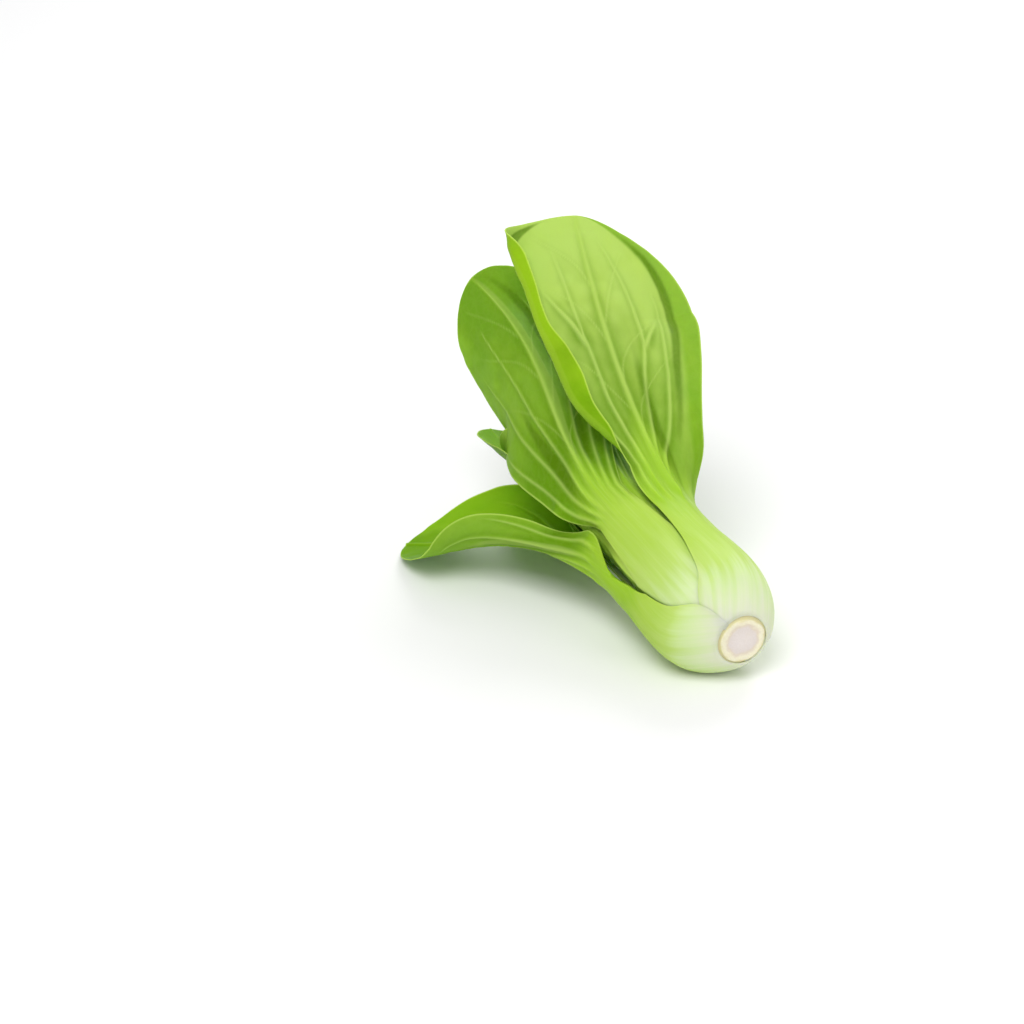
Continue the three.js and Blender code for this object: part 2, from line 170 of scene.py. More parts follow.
# %% [markdown]
# ## Lines through a few values
# A leaf changes along its length: it leans, twists, widens and flattens. Each of these is written as a short
# line of pairs (distance in millimetres, value), and a smooth curve is drawn through them. A smooth step does
# the same for a change from none to full, and ripples are smooth random hills that are the same on every run.
# %% Helpers for smooth change
def along(line, at):
    """Value at a distance on a smooth curve through (distance, value) pairs."""
    places, values = (np.array(part, float) for part in zip(*line))
    last = len(places) - 1
    low = np.maximum(np.arange(last + 1) - 1, 0)
    high = np.minimum(np.arange(last + 1) + 1, last)
    slopes = (values[high] - values[low]) / (places[high] - places[low])
    at = np.clip(at, places[0], places[-1])
    left = np.clip(np.searchsorted(places, at, "right") - 1, 0, last - 1)
    width = places[left + 1] - places[left]
    x = (at - places[left]) / width
    level = values[left] + (values[left + 1] - values[left]) * x * x * (3 - 2 * x)
    return level + width * x * (1 - x) * (slopes[left] * (1 - x) - slopes[left + 1] * x)


def rise(at, low, high):
    """Smooth step from 0 at low to 1 at high."""
    x = np.clip((at - low) / (high - low), 0, 1)
    return x * x * (3 - 2 * x)


def mix(a, b, share):
    return a + (b - a) * share


RIPPLE_CELLS = 64


def ripple(x, y, size, seed):
    """Smooth random hills from -1 to 1, about size apart."""
    table = np.random.default_rng(seed).uniform(-1, 1, (RIPPLE_CELLS, RIPPLE_CELLS))
    x, y = np.broadcast_arrays(x / size, y / size)
    column, row = np.floor(x).astype(int), np.floor(y).astype(int)
    across, down = rise(x - column, 0, 1), rise(y - row, 0, 1)

    def corner(i, j):
        return table[(column + i) % RIPPLE_CELLS, (row + j) % RIPPLE_CELLS]

    return mix(mix(corner(0, 0), corner(1, 0), across), mix(corner(0, 1), corner(1, 1), across), down)


print("halfway up a smooth line:", float(along([(0, 0), (10, 4)], 5)))


# %% [markdown]
# ## The bulb
# The stalks grow from the stem one inside the other, and near the base they are pressed together into a
# bulb. We could model the bulb as one body and draw the seams on it, but then no stalk could leave it. So
# each stalk is wrapped round the axis as a crescent, and it is set in by the room that the stalks outside it
# take up. The outline pairs heights up the axis with the bulb's radius, and the wrap pairs them with the
# angle that a stalk covers to either side of its middle.
# %% Shape that the stalks share
BULB_OUTLINE = [
    (0, 9.4), (2, 12.6), (6, 17), (11, 20.8), (18, 23.2), (27, 24), (38, 23.5), (52, 22.2), (70, 20.6),
    (110, 18),
]
WRAP = [(0, 84), (8, 76), (20, 54), (31, 45), (45, 38), (60, 33)]
LOOSENS_FROM = 40
PACKED_TO = 46
FREE_FROM = 74
AIR = 0.25
STALK_MARGIN = 0.1
CRESCENT_POWER = 0.8
THIN_AT_BASE = 0.35
THICK_AFTER = 16
THINS_FROM = 30
THIN_AT_NECK = 0.62
ROOM_CLOSES = (1.02, 1.5)
ROOM_OPENS_OVER = 2


def freedom(s):
    """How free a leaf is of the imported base, at s millimetres along it."""
    return rise(s, LOOSENS_FROM, FREE_FROM)


def crescent(x):
    """Thickness across a stalk, x half widths from its middle, as a share of the thickest."""
    return mix(STALK_MARGIN, 1, np.maximum(0, 1 - x * x) ** CRESCENT_POWER)


def stalk_thickness(leaf, z):
    """Thickness in the middle of a stalk at a height up the axis."""
    grown = mix(THIN_AT_BASE, 1, rise(z, leaf["start"], leaf["start"] + THICK_AFTER))
    return leaf["stalk"] * grown * mix(1, THIN_AT_NECK, rise(z, THINS_FROM, leaf["blade_from"]))


def room_taken(leaf, angle, z):
    """Room that a stalk and the air beyond it take at a clock angle and a height up the axis."""
    from_middle = np.abs((angle - leaf["clock"] + 540) % 360 - 180) / along(WRAP, z)
    room = stalk_thickness(leaf, z) * crescent(np.minimum(from_middle, 1)) + AIR
    started = rise(z, leaf["start"] - ROOM_OPENS_OVER, leaf["start"])
    return room * (1 - rise(from_middle, *ROOM_CLOSES)) * started


def packed_radius(leaf, angle, z):
    """Distance from the axis to a leaf's outer face in the bulb."""
    outer = LEAVES[: LEAVES.index(leaf)]
    return along(BULB_OUTLINE, z) - sum(room_taken(other, angle, z) for other in outer)


print("the bulb is", 2 * max(radius for _, radius in BULB_OUTLINE), "mm across")


# %% [markdown]
# ## The leaves' own numbers
# The leaves are listed from the outermost inwards. Places round the head are read as on a clock face, in
# degrees, seen from the cut end. The distances are in millimetres along the leaf from its base, and the
# widths are shares of the blade's length with a half width in millimetres.
# - clock, start, length, stalk, blade_from: place, height on the stem, length, thickness, start of the blade
# - neck, opens: half widths where the stalk is narrowest, and where each side widens into the blade
# - left, right: lines of the half widths, round: where the rounded end begins, lobe: how far a corner hangs
# - lean, side, twist, cup: lean from the axis, swing sideways, turn about the midrib, radius across the leaf
# - folds: bends across the blade, each at a share of the half width, over an arc, turning so many degrees
# - ribs: strong veins, each a line of (distance, share of the half width), veins: pairs of fine side veins
# - belly: how far a stalk bulges beyond the bulb's outline, wave: height of the waves in the margin
# - pale: how pale the blade is, deep_from: share of the half width from where it is deep green after all
# - ripe: how soon the stalk turns from cream to green on its way up
# %% Numbers for the leaves that show most
LEAVES = [
    dict(
        name="leaf_outer_left", node="leaf_01_outer_left", clock=238, start=0.5, length=174, stalk=6.2,
        neck=(9.5, 9.5), blade_from=80, opens=(80, 56), left=[(0, 9.5), (0.5, 34), (1, 34)],
        right=[(0, 9.5), (0.12, 21), (0.22, 19), (0.34, 19.5), (0.6, 30), (1, 32)],
        round=(0.52, 0.52), lobe=(0, 0),
        lean=[(46, 4), (80, 14), (120, 25), (155, 43), (174, 40)],
        side=[(46, 0), (66, -4), (90, -9), (120, -16), (174, -4)],
        twist=[(46, 0), (72, -8), (95, -36), (130, -52), (174, -56)],
        cup=[(46, 19), (84, 16), (120, 34), (174, 60)],
        folds=[dict(at=[(76, 0.5), (130, 0.5)], arc=6, turn=[(72, 0), (86, 62), (104, 60), (140, 0)])],
        belly=2.8, pale=0.25, wave=1.2, ripe=0.95,
    ),
    dict(
        name="leaf_top", node="leaf_02_top", clock=26, start=0.6, length=202, stalk=6.2,
        neck=(14, 11), blade_from=82, opens=(82, 56),
        left=[(0, 14), (0.07, 17.5), (0.15, 24), (0.3, 34), (0.5, 34), (0.7, 35), (0.88, 39), (1, 34)],
        right=[
            (0, 11), (0.03, 11.8), (0.08, 18), (0.13, 24), (0.2, 26.8), (0.28, 27.2), (0.465, 35.5),
            (0.66, 43), (0.855, 42), (1, 33),
        ],
        round=(0.88, 0.475), lobe=(0, 0), lean=[(46, -2), (66, 6), (90, 21), (150, 26), (204, 24)],
        side=[(46, 0), (80, -2), (105, -6), (140, -1), (202, 7)],
        twist=[(46, 0), (80, -4), (120, -22), (204, -26)],
        cup=[(46, 20), (82, 18), (110, 55), (135, 90), (204, 110)],
        folds=[
            dict(
                at=[
                    (88, -0.84), (102, -0.78), (121, -0.72), (135, -0.75), (150, -0.82), (165, -0.82),
                    (192, -0.77),
                ],
                arc=4, turn=[(74, 0), (96, -140), (104, -150), (180, -150), (194, -70), (201, 0)],
            ),
            dict(
                at=[(75, 0.4), (101, 0.66), (124, 0.7), (152, 0.77), (180, 0.84)],
                arc=3.5, turn=[(80, 0), (100, -22), (140, -45), (168, -50), (186, -24), (200, 0)],
            ),
            dict(
                at=[(60, 0.8), (72, 0.46), (95, 0.3), (120, 0.25)],
                arc=4, turn=[(58, 0), (78, -50), (95, -42), (140, -10), (150, 0)],
            ),
        ],
        ribs=[
            [(58, -0.42), (83, -0.45), (104, -0.32), (124, -0.26), (142, -0.28), (161, -0.32), (190, -0.34)],
            [(58, -0.7), (80, -0.72), (102, -0.58), (122, -0.45)],
            [(136, -0.27), (148, -0.36), (158, -0.5), (170, -0.66)],
            [(60, 0.05), (83, 0.06), (100, 0.2), (119, 0.28), (137, 0.37), (158, 0.36), (192, 0.3)],
            [(132, 0.36), (140, 0.44), (152, 0.64)],
            [(62, 0.1), (83, 0.2), (97, 0.46), (113, 0.56), (138, 0.6), (166, 0.66)],
        ],
        pale=1, deep_from=0.72, wave=0.5, veins=3, ripe=0.62,
    ),
    dict(
        name="leaf_outer_right", node="leaf_03_outer_right", clock=152, start=0.8, length=188, stalk=6,
        neck=(9, 9), blade_from=82, opens=(82, 82),
        left=[(0, 9), (0.5, 32), (1, 32)], right=[(0, 9), (0.5, 32), (1, 32)],
        round=(0.52, 0.52), lobe=(0, 0), lean=[(46, 0), (80, 15), (120, 30), (160, 20), (188, 12)],
        side=[(46, 0), (188, 0)], twist=[(46, 0), (80, 8), (120, 22), (188, 26)],
        cup=[(46, 19), (82, 14), (120, 40), (188, 70)], folds=[], pale=0.4, wave=1.4,
    ),
    dict(
        name="leaf_middle", node="leaf_04_middle", clock=316, start=3, length=213, stalk=5.4,
        neck=(10.5, 10.5), blade_from=84, opens=(70, 80),
        left=[(0, 10.5), (0.1, 18), (0.25, 21), (0.45, 34), (1, 43)],
        right=[(0, 10.5), (0.25, 20), (0.5, 31), (1, 32)],
        round=(0.52, 0.52), lobe=(13, 0), lean=[(46, -3), (80, 0), (120, 1), (212, 2)],
        side=[(46, 0), (70, 0), (100, 10), (130, 19), (212, -3)], twist=[(46, 0), (212, 0)],
        cup=[(46, 17), (84, 13), (120, 30), (212, 50)],
        folds=[
            dict(at=[(84, 0.06), (212, 0.06)], arc=4, turn=[(90, 0), (115, 55), (170, 60), (212, 20)]),
            dict(at=[(84, 0.36), (212, 0.36)], arc=5, turn=[(90, 0), (115, -45), (170, -50), (212, -10)]),
            dict(at=[(84, -0.4), (150, -0.45)], arc=7, turn=[(76, 0), (90, -62), (115, -50), (150, 0)]),
        ],
        pale=0.2, wave=1.2, veins=3, ripe=0.47,
    ),
]
OUTER_COUNT = len(LEAVES)


# %% [markdown]
# ## The other leaves
# The leaves further in follow one another round the stem, each a little shorter, narrower and thinner than
# the one before. They have no folds of their own, so a small function writes their numbers from fewer values.
# %% Numbers for the inner leaves
def inner_leaf(name, node, clock, start, length, stalk, neck, blade_from, half, lean, cup, pale, swing=0):
    halves = [(0, neck), (0.5, half), (1, half)]
    return dict(
        name=name, node=node, clock=clock, start=start, length=length, stalk=stalk, neck=(neck, neck),
        blade_from=blade_from, opens=(blade_from, blade_from), left=halves, right=halves,
        round=(0.52, 0.52), lobe=(0, 0), lean=lean, side=[(46, 0), (length, swing)],
        twist=[(46, 0), (length, 0)], cup=cup, folds=[], pale=pale, wave=0.8,
    )


LEAVES += [
    inner_leaf("leaf_right", "leaf_05_right", 72, 5, 176, 4.6, 7.5, 80, 25,
               [(46, -3), (80, 4), (120, 10), (176, 12)], [(46, 15), (80, 12), (120, 22), (176, 34)], 0.3),
    inner_leaf("leaf_under", "leaf_06_under", 196, 6, 170, 4.4, 7.5, 78, 22,
               [(46, -3), (80, -2), (120, 1), (170, 2)], [(46, 14), (78, 11), (120, 22), (170, 34)], 0.3),
    inner_leaf("leaf_inner_top", "leaf_07_inner", 345, 7.5, 154, 3.6, 6.5, 76, 17,
               [(46, -3), (80, -1), (120, 0), (154, 1)], [(46, 12), (76, 9), (120, 15), (154, 22)], 0.1, 16),
    inner_leaf("leaf_inner_right", "leaf_08_inner", 118, 9, 144, 3.2, 6, 74, 17,
               [(46, -3), (80, 0), (144, 3)], [(46, 10), (74, 8), (110, 12), (144, 18)], 0.4),
    inner_leaf("leaf_inner_left", "leaf_09_inner", 262, 10.5, 146, 2.8, 5, 72, 16,
               [(46, -2), (80, -2), (146, -1)], [(46, 8), (70, 6), (100, 12), (146, 22)], 0.3, -8),
    inner_leaf("leaf_heart_top", "leaf_10_heart", 33, 12, 108, 2.4, 4, 64, 9,
               [(46, -2), (108, 1)], [(46, 6), (70, 5), (108, 9)], 0.7),
    inner_leaf("leaf_heart", "leaf_11_heart", 150, 13, 88, 2, 3, 56, 7,
               [(46, -2), (88, 1)], [(46, 5), (88, 7)], 0.8),
]
print("leaves:", len(LEAVES))


# %% [markdown]
# ## The midrib
# A leaf is built round its midrib. A curve drawn by hand could carry it, but in the bulb the place of each
# midrib depends on the leaves outside it, so it is worked out. Above the bulb the leaf leans and swings
# freely. At each millimetre we keep the place and three directions: forward along the leaf, out through its
# underside, and across it.
# %% Follow the midrib
def clock_direction(angle):
    return np.array([math.sin(math.radians(angle)), 0, math.cos(math.radians(angle))])


def unit(vectors):
    return vectors / np.linalg.norm(vectors, axis=-1, keepdims=True)


def midrib_of(leaf):
    """Places and directions a millimetre apart along the midrib, each as an array of vectors."""
    s = np.arange(0, leaf["length"] + 2.0)
    axis = np.array([0.0, 1, 0])
    outward, sideways = clock_direction(leaf["clock"]), clock_direction(leaf["clock"] + 90)
    lean, side = np.radians(along(leaf["lean"], s)), np.radians(along(leaf["side"], s))
    twist = np.radians(along(leaf["twist"], s)) * freedom(s)
    run = np.cos(lean)[:, None] * axis + np.sin(lean)[:, None] * outward
    run = np.cos(side)[:, None] * run + np.sin(side)[:, None] * sideways
    forward = unit(mix(axis, run, freedom(s)[:, None]))
    out = np.cos(twist)[:, None] * outward + np.sin(twist)[:, None] * sideways
    out = unit(out - forward * np.sum(out * forward, -1, keepdims=True))
    height = leaf["start"] + s
    place = height[:, None] * axis + packed_radius(leaf, leaf["clock"], height)[:, None] * outward
    loose = height > PACKED_TO
    place[loose] = place[~loose][-1] + np.cumsum(run[loose], 0)
    return s, place, forward, out, np.cross(forward, out)


def at_distance(s, known, vectors):
    return np.stack([np.interp(s, known, vectors[:, i]) for i in range(3)], -1)


print("midrib of", LEAVES[0]["name"], "ends at", midrib_of(LEAVES[0])[1][-1].round(1))


# %% [markdown]
# ## Across the leaf
# The blade isn't a flat cut-out. It is hollow like a spoon, and some leaves are folded as well. It could be
# sculpted, but then it would stretch. Both are bends, so we add up the bend from the midrib outwards, and the
# section draws itself as a line that keeps its length. We also work out how sharp the folds are at each
# point, because the finish paints shade into their valleys and a highlight onto their ridges.
# %% Draw the section across a leaf
SECTION_SAMPLES = 401
NARROWS_FROM = 34
TIP_POWER = 2.3
CREASE_WIDTH = 2
FULL_TURN = 38


def stalk_half_width(leaf, s, side, narrow_at):
    """Half width of the stalk alone, which narrows from the bulb to its neck, 0 for left and 1 for right."""
    packed = packed_radius(leaf, leaf["clock"], np.minimum(leaf["start"] + s, PACKED_TO))
    wrapped = np.radians(along(WRAP, leaf["start"] + s)) * packed
    return mix(wrapped, leaf["neck"][side], np.clip((s - NARROWS_FROM) / (narrow_at - NARROWS_FROM), 0, 1))


def half_widths(leaf, s, side):
    """Half width on one side, 0 for left and 1 for right, at distances along the leaf."""
    opens = leaf["opens"][side]
    stalk = stalk_half_width(leaf, s, side, opens)
    t = (s - opens) / (leaf["length"] - opens)
    ending = np.clip((t - leaf["round"][side]) / (1 - leaf["round"][side]), 0, 1)
    blade = along(leaf["left" if side == 0 else "right"], t) * np.sqrt(1 - ending**TIP_POWER)
    return np.where(t < 0, stalk, blade)


def fold_place(fold, s, halves):
    """Distance across at which a fold lies, for each distance along the leaf."""
    at = along(fold["at"], s)[:, None]
    return at * np.where(at < 0, halves[0][:, None], halves[1][:, None])


def crease_of(leaf, s, v, halves):
    """How sharply the leaf is folded at each point, above 0 where the underside is a ridge."""
    total = np.zeros_like(v)
    for fold in leaf["folds"]:
        off = (v - fold_place(fold, s, halves)) / CREASE_WIDTH
        total += along(fold["turn"], s)[:, None] / FULL_TURN * np.exp(-off * off)
    return np.clip(total, -1, 1)


def sections(leaf, s, shares, halves):
    """Place across and out, and the turn, at shares of the half width, for each distance along the leaf."""
    fine = np.linspace(-1, 1, SECTION_SAMPLES)
    middle = SECTION_SAMPLES // 2
    half = np.where(fine < 0, halves[0][:, None], halves[1][:, None])
    v = fine * half
    packed = packed_radius(leaf, leaf["clock"], np.minimum(leaf["start"] + s, PACKED_TO))
    bend = np.repeat(1 / mix(packed, along(leaf["cup"], s), freedom(s))[:, None], SECTION_SAMPLES, 1)
    for fold in leaf["folds"]:
        off = np.minimum(np.abs(v - fold_place(fold, s, halves)) / fold["arc"], 1)
        bend += np.radians(along(fold["turn"], s))[:, None] * (1 + np.cos(np.pi * off)) / (2 * fold["arc"])

    def added_up(values):
        steps = (values[:, 1:] + values[:, :-1]) / 2 * np.diff(v, axis=1)
        total = np.concatenate([np.zeros((len(s), 1)), np.cumsum(steps, 1)], 1)
        return total - total[:, middle : middle + 1]

    turn = added_up(bend)
    across, out = added_up(np.cos(turn)), -added_up(np.sin(turn))
    return [np.stack([np.interp(shares, fine, row) for row in rows]) for rows in (across, out, turn)]


right_halves = half_widths(LEAVES[0], np.arange(LEAVES[0]["length"]), 1)
print("right half of", LEAVES[0]["name"], "is up to", right_halves.max().round(1), "mm wide")


# %% [markdown]
# ## Ribs and veins
# Strong ribs leave the top of the stalk like a fan, and finer veins branch off the midrib. They could be mere
# colour, but on a real underside they stand out, so light catches them. Each one is a line along the leaf. A
# rib of the fan is written as the share of the half width where it starts, the share where it ends, and how
# far up the blade it goes.
# %% Lay out the veins of one leaf
FAN = [(0.25, 0.45, 0.86), (0.5, 0.8, 0.72), (0.78, 0.94, 0.42)]
FAN_ROOT = 16
FAN_TURNS_AT = 0.4
FAN_TURNED = 0.25
SIDE_VEINS = 6
FIRST_VEIN = 0.1
VEIN_SPAN = 0.66
VEIN_JITTER = 0.03
VEIN_REACH = (0.26, 0.38)
VEIN_BENDS = [(0.4, (0.12, 0.2)), (0.75, (0.4, 0.52)), (1, (0.7, 0.88))]
VEIN_ENDS_BEFORE = 3


def fan_ribs(leaf):
    """Strong ribs on both sides, for a leaf that lists none of its own."""
    blade, start = leaf["length"] - leaf["blade_from"], leaf["blade_from"]
    ribs = []
    for side in (-1, 1):
        for low, high, reach in FAN:
            turn = start + FAN_TURNS_AT * reach * blade
            ribs.append([
                (start - FAN_ROOT, side * low), (start, side * low),
                (turn, side * mix(low, high, FAN_TURNED)), (start + reach * blade, side * high),
            ])
    return ribs


def side_veins(leaf, seed):
    """Fine veins that leave the midrib at a narrow angle, in turn on the left and the right."""
    blade, start = leaf["length"] - leaf["blade_from"], leaf["blade_from"]
    draw = np.random.default_rng(seed)
    count = leaf.get("veins", SIDE_VEINS) * 2
    veins = []
    for i in range(count):
        side = -1 if i % 2 else 1
        low = start + blade * (FIRST_VEIN + VEIN_SPAN * i / count + draw.uniform(-VEIN_JITTER, VEIN_JITTER))
        reach = min(blade * draw.uniform(*VEIN_REACH), leaf["length"] - low - VEIN_ENDS_BEFORE)
        bends = [(low + part * reach, side * draw.uniform(*shares)) for part, shares in VEIN_BENDS]
        veins.append([(low, 0)] + bends)
    return veins


print("ribs in a fan:", len(fan_ribs(LEAVES[0])), "and side veins:", len(side_veins(LEAVES[0], seed=1)))


# %% [markdown]
# ## One vein in relief
# Across a vein, the underside rises in a rounded ridge with a slight hollow on either side. How far a point
# is from the vein is its distance across, shortened where the vein slants. We keep three things for it: the
# height, how much it lies on the vein, and how much in the groove beside it. With them the finish makes the
# veins paler and paints shade into the grooves. Widths and heights are pairs, for the vein's start and its end.
# %% Raise one vein
VEIN_STARTS_OVER = 7
VEIN_ENDS_OVER = 12
HOLLOW_DEPTH = 0.3
HOLLOW_SPREAD = 9
LINE_SHARPNESS = (2.2, 4.5)
GROOVE_SPREAD = 7
GROOVE_FADING = 0.6


def vein_relief(s, v, halves, line, widths, heights):
    """Height of one vein's ridge, how much of it there is, and the shade in the grooves beside it."""
    share = along(line, s)
    centre = share * np.where(share < 0, halves[0], halves[1])
    slant = np.cos(np.arctan(np.gradient(centre, s)))[:, None]
    low, high = line[0][0], line[-1][0]
    part = np.clip((s - low) / (high - low), 0, 1)[:, None]
    present = (rise(s, low, low + VEIN_STARTS_OVER) * (1 - rise(s, high - VEIN_ENDS_OVER, high)))[:, None]
    off = np.abs(v - centre[:, None]) * slant / mix(widths[0], widths[1], part)
    ridge = np.exp(-off * off) - HOLLOW_DEPTH * np.exp(-off * off / HOLLOW_SPREAD)
    line_mask = np.exp(-off * off * mix(*LINE_SHARPNESS, part)) * present
    groove = np.exp(-off * off / GROOVE_SPREAD) - np.exp(-off * off)
    beside = groove * (1 - part) ** GROOVE_FADING * present
    return ridge * mix(heights[0], heights[1], part) * present, line_mask, beside


# %% [markdown]
# ## The relief of a leaf
# On top of its veins, a stalk has faint lengthwise flutes and soft dents, and a blade has shallow cushions
# between the veins and waves along its margin. A bump in the finish could fake the smallest, but it leaves
# the leaf's outline smooth. They are small, and without them a leaf looks like plastic.
# %% Work out the relief
MIDRIB_ROOT = 20
MIDRIB_ENDS_BEFORE = 2
MIDRIB_WIDTHS = (2.1, 0.6)
MIDRIB_HEIGHTS = (1.2, 0.25)
RIB_WIDTHS = (1.4, 0.5)
RIB_HEIGHTS = (0.95, 0.16)
SIDE_VEIN_WIDTHS = (0.6, 0.4)
SIDE_VEIN_HEIGHTS = (0.22, 0.05)
FAINTEST_VEIN = 0.2
FULL_VEIN_WIDTH = 1.6
BLADE_FADES_IN = (14, 26)
FLUTES_FADE_IN = (18, 60)
FLUTE_SPACING = 2.9
FLUTE_DRIFT = 0.35
FLUTE_DRIFT_SIZE = 30
FLUTE_HEIGHT = 0.03
DENTS_FADE_IN = (8, 30)
DENT_SIZE = 6.5
DENT_SQUEEZE = 0.22
DENT_HEIGHT = 0.28
DENTS_IN_BLADE = 0.5
CUSHION_SIZE = 5
CUSHION_HEIGHT = 0.24
WAVY_SHARES = (0.62, 1)
TIP_WAVES_FADE = (2, 16)
MARGIN_WAVE_SIZE = 15
MARGIN_WAVE_SQUEEZE = 0.25
MARGIN_WAVE_SHIFT = 40
SLOW_WAVE_SIZE = 34
SLOW_WAVE_SHARE = 1.4


def relief_of(leaf, s, v, shares, halves, seed):
    """Height of the underside above the smooth leaf, and the masks of the veins and their grooves."""
    column = s[:, None]
    start, length = leaf["blade_from"], leaf["length"]
    in_blade = rise(column, start - BLADE_FADES_IN[0], start + BLADE_FADES_IN[1])
    midrib = [(start - MIDRIB_ROOT, 0), (length - MIDRIB_ENDS_BEFORE, 0)]
    lines = [(midrib, MIDRIB_WIDTHS, MIDRIB_HEIGHTS)]
    lines += [(line, RIB_WIDTHS, RIB_HEIGHTS) for line in leaf.get("ribs") or fan_ribs(leaf)]
    lines += [(line, SIDE_VEIN_WIDTHS, SIDE_VEIN_HEIGHTS) for line in side_veins(leaf, seed)]
    height, mask, groove = np.zeros_like(v), np.zeros_like(v), np.zeros_like(v)
    for line, widths, heights in lines:
        ridge, there, beside = vein_relief(s, v, halves, line, widths, heights)
        height += ridge
        mask = np.maximum(mask, there * min(1, FAINTEST_VEIN + widths[0] / FULL_VEIN_WIDTH))
        groove = np.maximum(groove, beside * min(1, heights[0]))
    drift = FLUTE_DRIFT * ripple(v, column, FLUTE_DRIFT_SIZE, seed + 1)
    flutes = np.sin(2 * np.pi * (v / FLUTE_SPACING + drift))
    height += FLUTE_HEIGHT * flutes * rise(column, *FLUTES_FADE_IN) * (1 - in_blade)
    dents = DENT_HEIGHT * ripple(v, column * DENT_SQUEEZE, DENT_SIZE, seed + 2)
    height += dents * rise(column, *DENTS_FADE_IN) * mix(1, DENTS_IN_BLADE, in_blade)
    height += CUSHION_HEIGHT * ripple(v, column, CUSHION_SIZE, seed + 3) * in_blade * (1 - mask)
    edge = rise(np.abs(shares), *WAVY_SHARES) * rise(length - column, *TIP_WAVES_FADE)
    squeezed = v * MARGIN_WAVE_SQUEEZE + MARGIN_WAVE_SHIFT
    height += leaf["wave"] * ripple(squeezed, column, MARGIN_WAVE_SIZE, seed + 4) * edge * in_blade
    height += SLOW_WAVE_SHARE * leaf["wave"] * ripple(v, column, SLOW_WAVE_SIZE, seed + 5) * in_blade
    return height, mask, groove * (1 - mask)


print("the midrib stands out by", MIDRIB_HEIGHTS[0], "mm and ends at", MIDRIB_HEIGHTS[1], "mm")


# %% [markdown]
# ## Rows, and the knife's cut
# Rows that are evenly spaced would leave the round tip with corners. So the base has few rows, the middle has
# more, and towards the tip they close up. The knife went through the base a little askew, so the lowest part
# of every piece is sheared along the axis. Cutting all pieces with one tilted plane would do the same, but it
# would leave open edges to close.
# %% Space the rows and tilt the base
BASE_ROWS, BASE_REACH = 0.28, 0.38
MIDDLE_ROWS, MIDDLE_REACH = 0.57, 0.93
TIP_ROWS, TIP_REACH = 0.15, 0.07
LAST_ROW = 0.012
CUT_TILT = math.radians(14)
CUT_TOWARDS = 318
CUT_REACH = 22


def skew_base(points):
    """Shears the lowest part along the axis, as the knife's cut is tilted."""
    shift = math.tan(CUT_TILT) * points @ clock_direction(CUT_TOWARDS)
    points[..., 1] += shift * (1 - rise(points[..., 1], 0, CUT_REACH))
    return points


def row_places(rows):
    """Shares of the leaf's length where the rows go, closer together towards the tip."""
    u = np.linspace(0, 1, rows)
    base = u * BASE_REACH / BASE_ROWS
    middle = mix(BASE_REACH, MIDDLE_REACH, (u - BASE_ROWS) / MIDDLE_ROWS)
    tip = 1 - TIP_REACH * mix(LAST_ROW, 1, (1 - u) / TIP_ROWS) ** 2
    return np.where(u < BASE_ROWS, base, np.where(u < 1 - TIP_ROWS, middle, tip))


print("eleven rows would go to", row_places(11).round(3))


# %% [markdown]
# ## From numbers to a leaf
# Blender gives us a flat grid. Its columns become places across the leaf and its rows places along it. The
# points are moved onto the underside, and the relief pushes them out. A stalk is thick in its middle and
# sharpens to a skin at its margins, so each point also gets a thickness, which the Solidify modifier will
# read. The marks are numbers that stay on the points for the finish, such as how far up the leaf they are.
# %% Place the grid's points
SKIN = 0.55
SKIN_AT_MARGIN = 0.65
SKIN_THINS_FROM = 0.7
CORE_AT_TIP = 0.14
CORE_POWER = 0.6
FLESH_AT_TIP = 0.3
FLESH_THINNING = 1.6
FLESH_AT_BASE = 0.45
FLESH_GROWS_OVER = 5
FLESH_EDGE = (0.95, 0.1)
FLESH_NARROWS = (-0.06, 0.3)
EVENNESS = 0.55
LOBE_STARTS = (-0.02, 0.16)
LOBE_ENDS = (0.16, 0.6)
BELLY_STARTS = (0, 14)
BELLY_ENDS = (44, 72)
RELIEF_STARTS_OVER = 12
DEEP_GREEN_OVER = 0.12
DEEP_GREEN_SHARE = 0.7
USUAL_RIPE = 0.5


def thickness_of(leaf, s, v, shares, cores, t):
    """Thickness of the stalk's flesh where there is any, and of the skin elsewhere."""
    narrowing = mix(1, CORE_AT_TIP, np.clip(t, 0, 1) ** CORE_POWER)
    from_core = np.abs(v) / np.where(shares < 0, *cores) / narrowing
    grown = mix(FLESH_AT_BASE, 1, rise(s, 0, FLESH_GROWS_OVER))[:, None]
    thinned = mix(1, FLESH_AT_TIP, np.clip(t * FLESH_THINNING, 0, 1)) * grown
    stalk = stalk_thickness(leaf, leaf["start"] + s)[:, None] * thinned * crescent(np.minimum(from_core, 1))
    return np.maximum(stalk, SKIN * mix(1, SKIN_AT_MARGIN, rise(np.abs(shares), SKIN_THINS_FROM, 1)))


